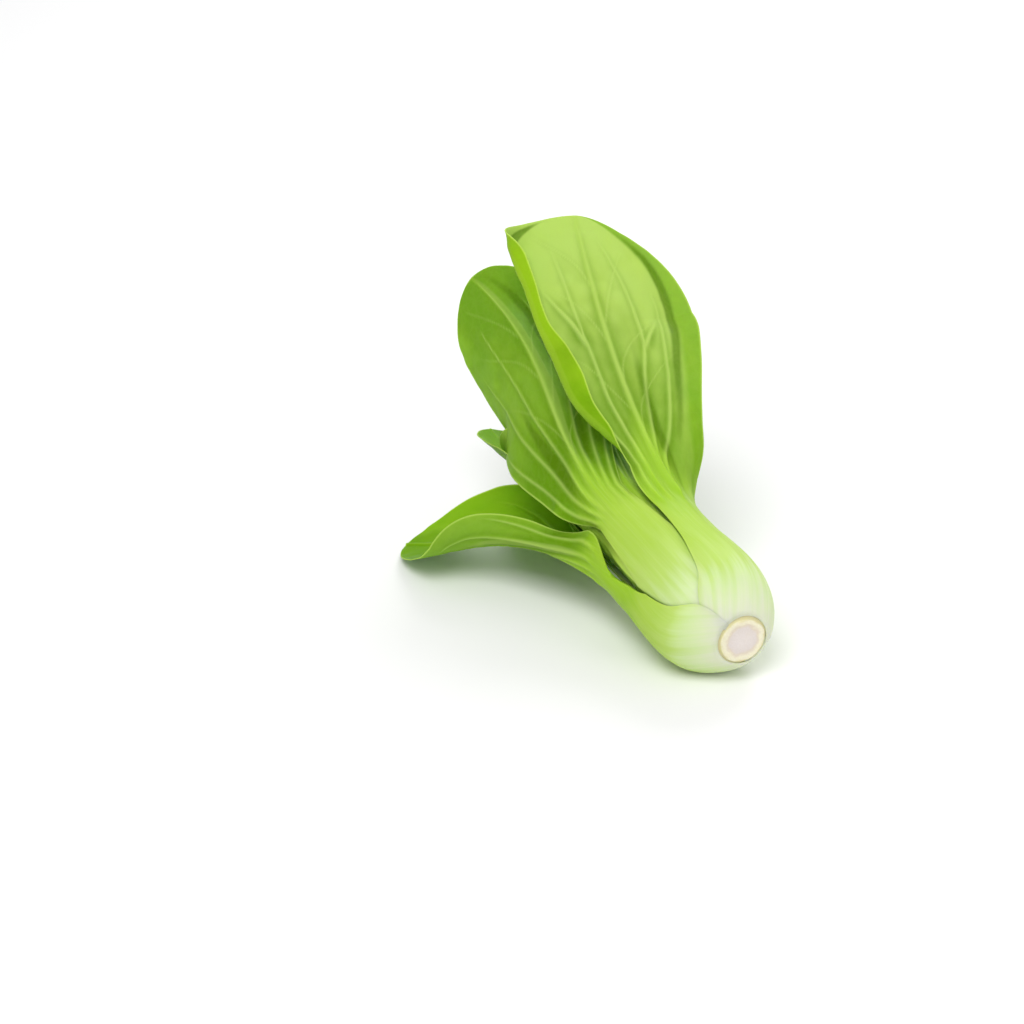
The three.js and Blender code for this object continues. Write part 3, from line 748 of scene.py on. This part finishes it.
def leaf_points(leaf, rows, columns, seed):
    """Points of the underside, with thickness and the marks that the finish reads."""
    s = row_places(rows) * leaf["length"]
    even = np.linspace(-1, 1, columns)
    shares = mix(np.sin(even * np.pi / 2), even, EVENNESS)
    halves = [half_widths(leaf, s, side) for side in (0, 1)]
    half = np.where(shares < 0, halves[0][:, None], halves[1][:, None])
    v = shares * half
    across, out, turn = sections(leaf, s, shares, halves)

    known, *vectors = midrib_of(leaf)
    place, forward, outward, sideways = (at_distance(s, known, part)[:, None] for part in vectors)
    normal = sideways * np.sin(turn)[..., None] + outward * np.cos(turn)[..., None]
    z = leaf["start"] + s
    packed = packed_radius(leaf, leaf["clock"], np.minimum(z, PACKED_TO))[:, None]
    pressed_at = np.minimum(z, FREE_FROM)[:, None]
    angle = leaf["clock"] + np.degrees(v / packed)
    pressed = packed_radius(leaf, angle, pressed_at) - packed_radius(leaf, leaf["clock"], pressed_at)
    t = ((s - leaf["blade_from"]) / (leaf["length"] - leaf["blade_from"]))[:, None]
    lobe = np.where(shares < 0, leaf["lobe"][0], leaf["lobe"][1])
    hang = rise(t, *LOBE_STARTS) * (1 - rise(t, *LOBE_ENDS)) * lobe * shares**2
    height, mask, groove = relief_of(leaf, s, v, shares, halves, seed)
    above_cut = rise(s, 0, RELIEF_STARTS_OVER)[:, None]
    belly = leaf.get("belly", 0) * (rise(s, *BELLY_STARTS) - rise(s, *BELLY_ENDS))[:, None] * (1 - shares**2)
    points = place + sideways * across[..., None] + outward * out[..., None] - forward * hang[..., None]
    points = points + normal * (pressed * (1 - freedom(s)[:, None]) + height * above_cut + belly)[..., None]

    cores = [stalk_half_width(leaf, s, side, leaf["blade_from"])[:, None] for side in (0, 1)]
    thickness = belly + thickness_of(leaf, s, v, shares, cores, t)
    margin = np.minimum(half - np.abs(v), leaf["length"] - s[:, None])
    stage = np.where(t < 0, s[:, None] / leaf["blade_from"], 1 + t) + 0 * v
    deep_from = leaf.get("deep_from", 1)
    deep_green = DEEP_GREEN_SHARE * rise(shares, deep_from, deep_from + DEEP_GREEN_OVER)
    flesh_edge = np.where(shares < 0, *cores) * mix(*FLESH_EDGE, rise(t, *FLESH_NARROWS))
    marks = dict(
        down=s[:, None] + 0 * v, across=v, height=height, margin=margin, stage=stage, vein=mask,
        groove=groove, crease=crease_of(leaf, s, v, halves), fleshy=np.exp(-((np.abs(v) / flesh_edge) ** 3)),
        pale=leaf["pale"] * (1 - deep_green) + 0 * v, ripe=leaf.get("ripe", USUAL_RIPE) + 0 * v,
    )
    return skew_base(points), thickness, marks


# %% [markdown]
# ## Modelling a leaf with Blender's tools
# The grid primitive is added and its points are moved. Solidify gives the leaf its thickness and puts the
# upper side in the second material slot, because the two sides of a leaf don't look the same. Both finishes
# are in their slots before that, as Solidify can't use a slot that isn't there yet. Two separate skins would
# do too, but Solidify also closes the margin between them.
# %% Make one leaf
def add_marks(mesh, marks):
    for name, values in marks.items():
        layer = mesh.attributes.new(name, "FLOAT", "POINT")
        layer.data.foreach_set("value", values.ravel().astype(np.float32))


def make_leaf(leaf, rows, columns, seed, finishes):
    deselect_all()
    bpy.ops.mesh.primitive_grid_add(x_subdivisions=columns - 1, y_subdivisions=rows - 1, size=1)
    piece = bpy.context.object
    piece.name = leaf["name"]
    for finish in finishes:
        piece.data.materials.append(finish)
    points, thickness, marks = leaf_points(leaf, rows, columns, seed)
    piece.data.vertices.foreach_set("co", to_frame(points).ravel())
    add_marks(piece.data, marks)
    group = piece.vertex_groups.new(name="thickness")
    thickest = float(thickness.max())
    for index, value in enumerate(thickness.ravel()):
        group.add([index], value / thickest, "REPLACE")
    shell = piece.modifiers.new("shell", "SOLIDIFY")
    shell.thickness = thickest * MM
    shell.offset = -1
    shell.vertex_group = "thickness"
    shell.use_quality_normals = True
    shell.material_offset = 1
    bpy.ops.object.modifier_apply(modifier="shell")
    bpy.ops.object.shade_smooth()
    piece.data.update()
    return piece


# %% [markdown]
# ## Building blocks for the finishes
# Every finish is a small tree of nodes. It could be wired in the shader editor, and these helpers do that in
# code: they add a node, join it up and mix colours, so that each finish below reads as a list of what it
# looks like. Colours are written as they look on screen, from 0 to 255, and turned into the linear values
# that the shader needs.
# %% Node helpers
def colour(r, g, b):
    def linear(c):
        c /= 255
        return c / 12.92 if c <= 0.04045 else ((c + 0.055) / 1.055) ** 2.4

    return (linear(r), linear(g), linear(b), 1)


class Finish:
    """A material and short ways to add its nodes."""

    def __init__(self, name):
        self.material = bpy.data.materials.new(name)
        self.material.use_nodes = True
        self.tree = self.material.node_tree
        self.tree.nodes.clear()

    def add(self, kind, inputs=(), **settings):
        node = self.tree.nodes.new(kind)
        for key, value in settings.items():
            setattr(node, key, value)
        for socket, value in dict(inputs).items():
            if isinstance(value, bpy.types.NodeSocket):
                self.tree.links.new(value, node.inputs[socket])
            else:
                node.inputs[socket].default_value = value
        return node

    def mark(self, name):
        return self.add("ShaderNodeAttribute", attribute_name=name).outputs["Fac"]

    def sum_up(self, operation, a, b):
        return self.add("ShaderNodeMath", {0: a, 1: b}, operation=operation).outputs[0]

    def spread(self, value, low, high, to_low=0.0, to_high=1.0):
        inputs = {"Value": value, "From Min": low, "From Max": high, "To Min": to_low, "To Max": to_high}
        return self.add("ShaderNodeMapRange", inputs, interpolation_type="SMOOTHSTEP").outputs["Result"]

    def ramp(self, value, stops):
        node = self.add("ShaderNodeValToRGB", {"Fac": value})
        elements = node.color_ramp.elements
        while len(elements) < len(stops):
            elements.new(1)
        for element, (place, shade) in zip(elements, stops):
            element.position = place
            element.color = shade
        return node.outputs["Color"]

    def mix(self, share, a, b, blend="MIX"):
        node = self.add("ShaderNodeMix", data_type="RGBA", blend_type=blend)
        for socket, value in ((node.inputs[0], share), (node.inputs[6], a), (node.inputs[7], b)):
            if isinstance(value, bpy.types.NodeSocket):
                self.tree.links.new(value, socket)
            else:
                socket.default_value = value
        return node.outputs[2]

    def on_leaf(self, across, down):
        """Coordinates that follow the leaf, in millimetres times the two factors."""
        x = self.sum_up("MULTIPLY", self.mark("across"), across)
        y = self.sum_up("MULTIPLY", self.mark("down"), down)
        return self.add("ShaderNodeCombineXYZ", {"X": x, "Y": y, "Z": self.mark("pale")}).outputs[0]

    def noise(self, vector, detail=3.0, roughness=0.5):
        inputs = {"Vector": vector, "Scale": 1.0, "Detail": detail, "Roughness": roughness}
        return self.add("ShaderNodeTexNoise", inputs).outputs["Fac"]


print("half grey on screen is", round(colour(128, 128, 128)[0], 3), "to the shader")


# %% [markdown]
# ## Colours of stalk and blade
# A stalk is cream at the bulb, turns pale green and then yellow green, with soft lengthwise streaks. The
# blade is green with paler veins and a fine net between them. Shade is painted into the low places of its
# relief, into the grooves beside the ribs and into the valleys of the folds, and a highlight is painted onto
# the folds' ridges. A painted picture would need the leaf unwrapped. These colours follow the marks on its
# points instead, so they can't slide.
# %% Mix the colours
STALK_STOPS = [
    (0.0, (222, 230, 198)), (0.09, (206, 227, 162)), (0.17, (186, 215, 110)), (0.27, (174, 207, 84)),
    (0.38, (169, 204, 72)), (0.5, (152, 195, 44)),
]
PALE_FIBRE = (220, 236, 160)
YELLOW_MOTTLE = (204, 232, 60)
# Tint of the painted shade in the low places of the relief, which the blade is multiplied by.
HOLLOW_SHADE_TINT = (190, 210, 120)
MOST_NOISE = (0.3, 0.7)
# How dark the painted shade is in the grooves and in the valleys of the folds, as shares of the deep green.
GROOVE_SHADE = 0.88
VALLEY_SHADE = 0.75


def shaken(f, noise, amount):
    """Noise, most of which lies near its middle, as a number that wanders between -amount and amount."""
    return f.spread(noise, *MOST_NOISE, -amount, amount)


def vein_net(f):
    """A fine wandering net, 1 on its lines and 0 in its fields."""
    warp = f.noise(f.on_leaf(0.4, 0.4), 2.0)
    place = f.add("ShaderNodeVectorMath", {0: f.on_leaf(0.3, 0.2), 1: warp}, operation="ADD").outputs[0]
    net = f.add("ShaderNodeTexVoronoi", {"Vector": place, "Scale": 1.0}, feature="DISTANCE_TO_EDGE")
    return f.spread(net.outputs["Distance"], 0.0, 0.2, 1.0, 0.0)


def stalk_colour(f, streaks, fibres):
    ripeness = f.sum_up("MULTIPLY", f.mark("stage"), f.mark("ripe"))
    stops = [(place, colour(*shade)) for place, shade in STALK_STOPS]
    stalk = f.ramp(f.sum_up("ADD", ripeness, shaken(f, streaks, 0.03)), stops)
    return f.mix(f.spread(fibres, 0.4, 0.75, 0.0, 0.08), stalk, colour(*PALE_FIBRE))


def blade_colour(f, mottling, net_line, deep, bright, vein, vein_share, fold_sign):
    """Green of the blade, deep to bright going up, with veins, painted shade and painted highlight."""
    # ridge is above 0 on a fold's ridge and below 0 in its valley, and places the painted shade and highlight.
    ridge = f.sum_up("MULTIPLY", f.mark("crease"), fold_sign)
    painted_groove_shade = colour(*(GROOVE_SHADE * part for part in deep))
    painted_valley_shade = colour(*(VALLEY_SHADE * part for part in deep))
    high_up = f.spread(f.sum_up("ADD", f.mark("stage"), shaken(f, mottling, 0.07)), 0.88, 1.6, 0.3, 1.0)
    blade = f.mix(f.sum_up("MULTIPLY", high_up, f.mark("pale")), colour(*deep), colour(*bright))
    blade = f.mix(f.spread(mottling, 0.35, 0.7, 0.0, 0.14), blade, colour(*YELLOW_MOTTLE))
    # Painted shade: where the relief dips below the smooth leaf, the blade is darkened as if less light reached
    # it.
    painted_hollow_shade = f.mix(1.0, blade, colour(*HOLLOW_SHADE_TINT), "MULTIPLY")
    blade = f.mix(f.spread(f.mark("height"), -0.9, 0.1, 0.5, 0.0), blade, painted_hollow_shade)
    # Painted shade in the grooves beside the ribs.
    blade = f.mix(f.sum_up("MULTIPLY", f.mark("groove"), 1.1), blade, painted_groove_shade)
    # Painted shade in the valleys of the folds.
    blade = f.mix(f.spread(ridge, -0.9, -0.1, 0.75, 0.0), blade, painted_valley_shade)
    # Painted highlight on the ridges of the folds, in the veins' pale colour.
    blade = f.mix(f.spread(ridge, 0.2, 0.9, 0.0, 0.35), blade, colour(*vein))
    blade = f.mix(f.sum_up("MULTIPLY", net_line, 0.04), blade, colour(*vein))
    return f.mix(f.sum_up("MULTIPLY", f.mark("vein"), vein_share), blade, colour(*vein))


# %% [markdown]
# ## Leaf finish
# Past the neck the stalk's colour gives way to the blade's, first beside the midrib's flesh and then on it. A
# thin pale line runs along the margin. Light passes through the thin blade, so a translucent shader is mixed
# in there, and the thick stalk scatters light under its skin. Both sides share one recipe. The upper side is
# deeper green, and its fold_sign is -1, because a ridge below is a valley above, so the painted shade and
# highlight of the folds change places there.
# %% Make the finishes of the two sides
BUMP_DEPTH = 0.00025
SKIN_GLOSS = 0.1
SHINE_VARIES = 0.12
SCATTER_DEPTHS = (0.004, 0.005, 0.0016)


def leaf_finish(name, deep, bright, vein, margin_colour, glow, shine, vein_share, fold_sign):
    f = Finish(name)
    stage = f.mark("stage")
    streaks = f.noise(f.on_leaf(0.3, 0.02))
    fibres = f.noise(f.on_leaf(1.7, 0.05), 4.0)
    mottling = f.noise(f.on_leaf(0.07, 0.04), 4.0, 0.6)
    net_line = vein_net(f)
    stalk = stalk_colour(f, streaks, fibres)
    blade = blade_colour(f, mottling, net_line, deep, bright, vein, vein_share, fold_sign)

    past_neck = f.spread(f.sum_up("ADD", stage, shaken(f, streaks, 0.05)), 0.73, 1.02)
    between = f.sum_up("SUBTRACT", 1.0, f.sum_up("MULTIPLY", f.mark("groove"), 0.6))
    fleshy = f.sum_up("MULTIPLY", f.mark("fleshy"), between)
    thick = f.sum_up("MULTIPLY", fleshy, f.spread(stage, 0.95, 1.3, 1.0, 0.3))
    in_blade = f.sum_up("MULTIPLY", past_neck, f.sum_up("SUBTRACT", 1.0, thick))
    surface = f.mix(in_blade, stalk, blade)
    at_margin = f.sum_up("MULTIPLY", f.spread(f.mark("margin"), 0.2, 0.8, 0.7, 0.0), in_blade)
    surface = f.mix(at_margin, surface, colour(*margin_colour))

    fibre_bumps = f.sum_up("MULTIPLY", fibres, f.spread(stage, 0.9, 1.2, 0.25, 0.03))
    net_bumps = f.sum_up("MULTIPLY", net_line, f.spread(stage, 0.9, 1.2, 0.0, 0.1))
    bumps = {"Height": f.sum_up("ADD", fibre_bumps, net_bumps), "Strength": 0.35, "Distance": BUMP_DEPTH}
    bump = f.add("ShaderNodeBump", bumps).outputs["Normal"]
    body = f.add("ShaderNodeBsdfPrincipled", {
        "Base Color": surface, "Roughness": f.spread(mottling, *MOST_NOISE, shine, shine + SHINE_VARIES),
        "Normal": bump, "IOR": 1.4, "Specular IOR Level": SKIN_GLOSS,
        "Subsurface Weight": f.spread(in_blade, 0.0, 0.8, 0.35, 0.0),
        "Subsurface Radius": SCATTER_DEPTHS, "Subsurface Scale": 1.0,
    })
    lit = f.mix(1.0, surface, colour(*glow), "MULTIPLY")
    through = f.add("ShaderNodeBsdfTranslucent", {"Color": lit, "Normal": bump})
    share = f.spread(in_blade, 0.2, 1.0, 0.0, 0.35)
    both = f.add("ShaderNodeMixShader", {0: share, 1: body.outputs[0], 2: through.outputs[0]})
    f.add("ShaderNodeOutputMaterial", {"Surface": both.outputs[0]})
    return f.material


underside = leaf_finish(
    "leaf_underside", deep=(130, 187, 4), bright=(204, 232, 118), vein=(208, 234, 124),
    margin_colour=(212, 240, 116), glow=(255, 255, 120), shine=0.38, vein_share=0.54, fold_sign=1,
)
upper_side = leaf_finish(
    "leaf_upper_side", deep=(134, 196, 12), bright=(166, 210, 32), vein=(184, 224, 70),
    margin_colour=(222, 246, 110), glow=(255, 255, 80), shine=0.32, vein_share=0.4, fold_sign=-1,
)
print("finishes:", underside.name, upper_side.name)


# %% [markdown]
# ## Growing the leaves
# The leaves are made from the outermost inwards. The ones that show get a fine grid of rows and columns, so
# that their veins are real relief. The small ones deep inside would look no better for it, so theirs is
# coarser.
# %% Make all the leaves
GRIDS = {"outer": (230, 131), "middle": (170, 91), "inner": (120, 61)}
MIDDLE_COUNT = 3


def grid_for(index):
    if index < OUTER_COUNT:
        return GRIDS["outer"]
    return GRIDS["middle"] if index < OUTER_COUNT + MIDDLE_COUNT else GRIDS["inner"]


for index, leaf in enumerate(LEAVES):
    piece = make_leaf(leaf, *grid_for(index), seed=100 * index + 7, finishes=(underside, upper_side))
    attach(piece, "root")
    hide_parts(leaf["node"])
    print(piece.name, len(piece.data.polygons), "faces, in mm", [round(d / MM) for d in piece.dimensions])


# %% [markdown]
# ## The cut stem
# The knife leaves a round face: a smooth core with a cream rim round it, where the outer leaves were joined.
# It could be spun from its outline, but then its caps would meet in a pole. So it starts as a cylinder. Its
# front cap is inset ring by ring so that the face can be dished, and its back is extruded ring by ring. Each
# ring of the face is written as its radius and how deep it lies, each ring of the back as its distance from
# the cut and its radius.
# %% Model the stem
STEM_RADIUS = 9.2
STEM_SIDES = 64
FACE_RINGS = [(8.7, -0.12), (7.6, 0.0), (6.9, 0.22), (6.3, 0.3), (4.4, 0.34), (2.2, 0.36)]
BACK_RINGS = [(0.9, 9.8), (1.8, 10.9), (3, 11.2), (5, 9.4), (9, 5), (16, 1.9), (STEM_TIP - 1, 0.9)]


def edit_faces_between(piece, low, high):
    """Enters edit mode with only the faces whose middles lie between two heights selected."""
    bpy.ops.object.mode_set(mode="EDIT")
    bpy.ops.mesh.select_mode(type="FACE")
    bpy.ops.mesh.select_all(action="DESELECT")
    bpy.ops.object.mode_set(mode="OBJECT")
    for face in piece.data.polygons:
        face.select = low < face.center.z < high
    bpy.ops.object.mode_set(mode="EDIT")


def make_stem():
    deselect_all()
    bpy.ops.mesh.primitive_cylinder_add(vertices=STEM_SIDES, radius=STEM_RADIUS, depth=1)
    stem = bpy.context.object
    stem.name = "stem_cut"
    edit_faces_between(stem, 0.4, 0.6)
    reached = STEM_RADIUS
    for radius, _ in FACE_RINGS:
        bpy.ops.mesh.inset(thickness=reached - radius)
        reached = radius
    bpy.ops.object.mode_set(mode="OBJECT")
    edit_faces_between(stem, -0.6, -0.4)
    for _ in BACK_RINGS:
        bpy.ops.mesh.extrude_region_move(TRANSFORM_OT_translate={"value": (0, 0, -1)})
    bpy.ops.object.mode_set(mode="OBJECT")
    return stem


stem = make_stem()
print("rings of the stem:", len(FACE_RINGS), "on the face and", len(BACK_RINGS), "behind it")


# %% [markdown]
# ## Shape of the stem
# The rings are still as flat and round as the cylinder. We move each to its place, with the back drawn in to
# a blunt point between the leaves, and a subdivision rounds the rim. We could stop there, but no cut plant is
# a true circle, so the stem is made a little uneven. For the finish, each point keeps its distance from the
# middle of the face.
# %% Shape the stem
FACE_EDGE = (STEM_RADIUS, 0.25)
RIM_RING = (0.8, 9.25)
OVAL = 0.012
LOBED = 0.008
SPOT_SIZE = 1.3
SPOT_HEIGHT = 0.05
SPOTTED_RADIUS = 7
SMOOTH_LEVELS = 2
NOT_ON_FACE = 12


def shape_stem(stem):
    """Moves the rings to their places, with the face towards -Y of the head's own space."""
    points = np.array([v.co for v in stem.data.vertices])
    radius, depth = np.hypot(points[:, 0], points[:, 1]), 0.5 - points[:, 2]
    angle = np.arctan2(points[:, 1], points[:, 0])
    rings = np.array(FACE_RINGS[::-1] + [FACE_EDGE])
    height = np.interp(radius, rings[:, 0], rings[:, 1])
    new_radius = radius * (1 + OVAL * np.sin(2 * angle + 1) + LOBED * np.sin(5 * angle))
    for step, (z, r) in enumerate([RIM_RING] + BACK_RINGS):
        ring = np.abs(depth - 1 - step) < 0.2
        height[ring], new_radius[ring] = z, r
    spots = SPOT_HEIGHT * ripple(points[:, 0] + 50, points[:, 1] + 50, SPOT_SIZE, 77)
    spots = spots * (depth < 0.5) * (radius < SPOTTED_RADIUS)
    head = np.stack([new_radius * np.cos(angle), height + spots, new_radius * np.sin(angle)], -1)
    stem.data.vertices.foreach_set("co", to_frame(skew_base(head)).ravel())
    core = stem.data.attributes.new("from_middle", "FLOAT", "POINT")
    core.data.foreach_set("value", np.where(depth < 0.5, radius, NOT_ON_FACE).astype(np.float32))
    stem.data.update()


shape_stem(stem)
smooth = stem.modifiers.new("smooth", "SUBSURF")
smooth.levels = smooth.render_levels = SMOOTH_LEVELS
bpy.ops.object.modifier_apply(modifier="smooth")
bpy.ops.object.mode_set(mode="EDIT")
bpy.ops.mesh.select_all(action="SELECT")
bpy.ops.mesh.normals_make_consistent(inside=False)
bpy.ops.object.mode_set(mode="OBJECT")
bpy.ops.object.shade_smooth()
print("stem:", len(stem.data.polygons), "faces")


# %% [markdown]
# ## Finish of the cut
# The core is a moist, faintly pink white, and the rim is cream. Two materials would leave a ruled line
# between them. The real edge wanders, so the distance from the middle, in millimetres, is shaken by noise
# before it is turned into colour. Object coordinates suit the noise, as the stem is a solid body.
# %% Finish the stem
RING_STOPS = [
    (0.0, (232, 224, 220)), (0.54, (226, 216, 210)), (0.64, (226, 214, 194)), (0.73, (240, 234, 206)),
    (0.84, (238, 232, 200)), (0.93, (220, 212, 158)),
]
GRAIN_COLOUR = (206, 192, 180)
WANDER_SCALE = 260.0
GRAIN_SCALE = 1500.0
GRAIN_DEPTH = 0.0002
FLESH_DEPTHS = (0.004, 0.0035, 0.0025)


def cut_finish():
    f = Finish("cut_face")
    place = f.add("ShaderNodeTexCoord").outputs["Object"]
    wander, grain = (
        f.add("ShaderNodeTexNoise", {"Vector": place, "Scale": scale, "Detail": 3.0}).outputs["Fac"]
        for scale in (WANDER_SCALE, GRAIN_SCALE)
    )
    away = f.sum_up("ADD", f.mark("from_middle"), shaken(f, wander, 0.5))
    stops = [(place, colour(*shade)) for place, shade in RING_STOPS]
    face = f.ramp(f.sum_up("MULTIPLY", away, 0.1), stops)
    face = f.mix(f.spread(grain, *MOST_NOISE, 0.0, 0.18), face, colour(*GRAIN_COLOUR))
    bumps = {"Height": grain, "Strength": 0.3, "Distance": GRAIN_DEPTH}
    body = f.add("ShaderNodeBsdfPrincipled", {
        "Base Color": face, "Normal": f.add("ShaderNodeBump", bumps).outputs["Normal"],
        "Roughness": f.spread(wander, *MOST_NOISE, 0.38, 0.55), "IOR": 1.4,
        "Subsurface Weight": 0.4, "Subsurface Radius": FLESH_DEPTHS, "Subsurface Scale": 1.0,
    })
    f.add("ShaderNodeOutputMaterial", {"Surface": body.outputs[0]})
    return f.material


stem.data.materials.append(cut_finish())
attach(stem, "root")
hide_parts("stem_base")
print("finish of the stem:", stem.data.materials[0].name)
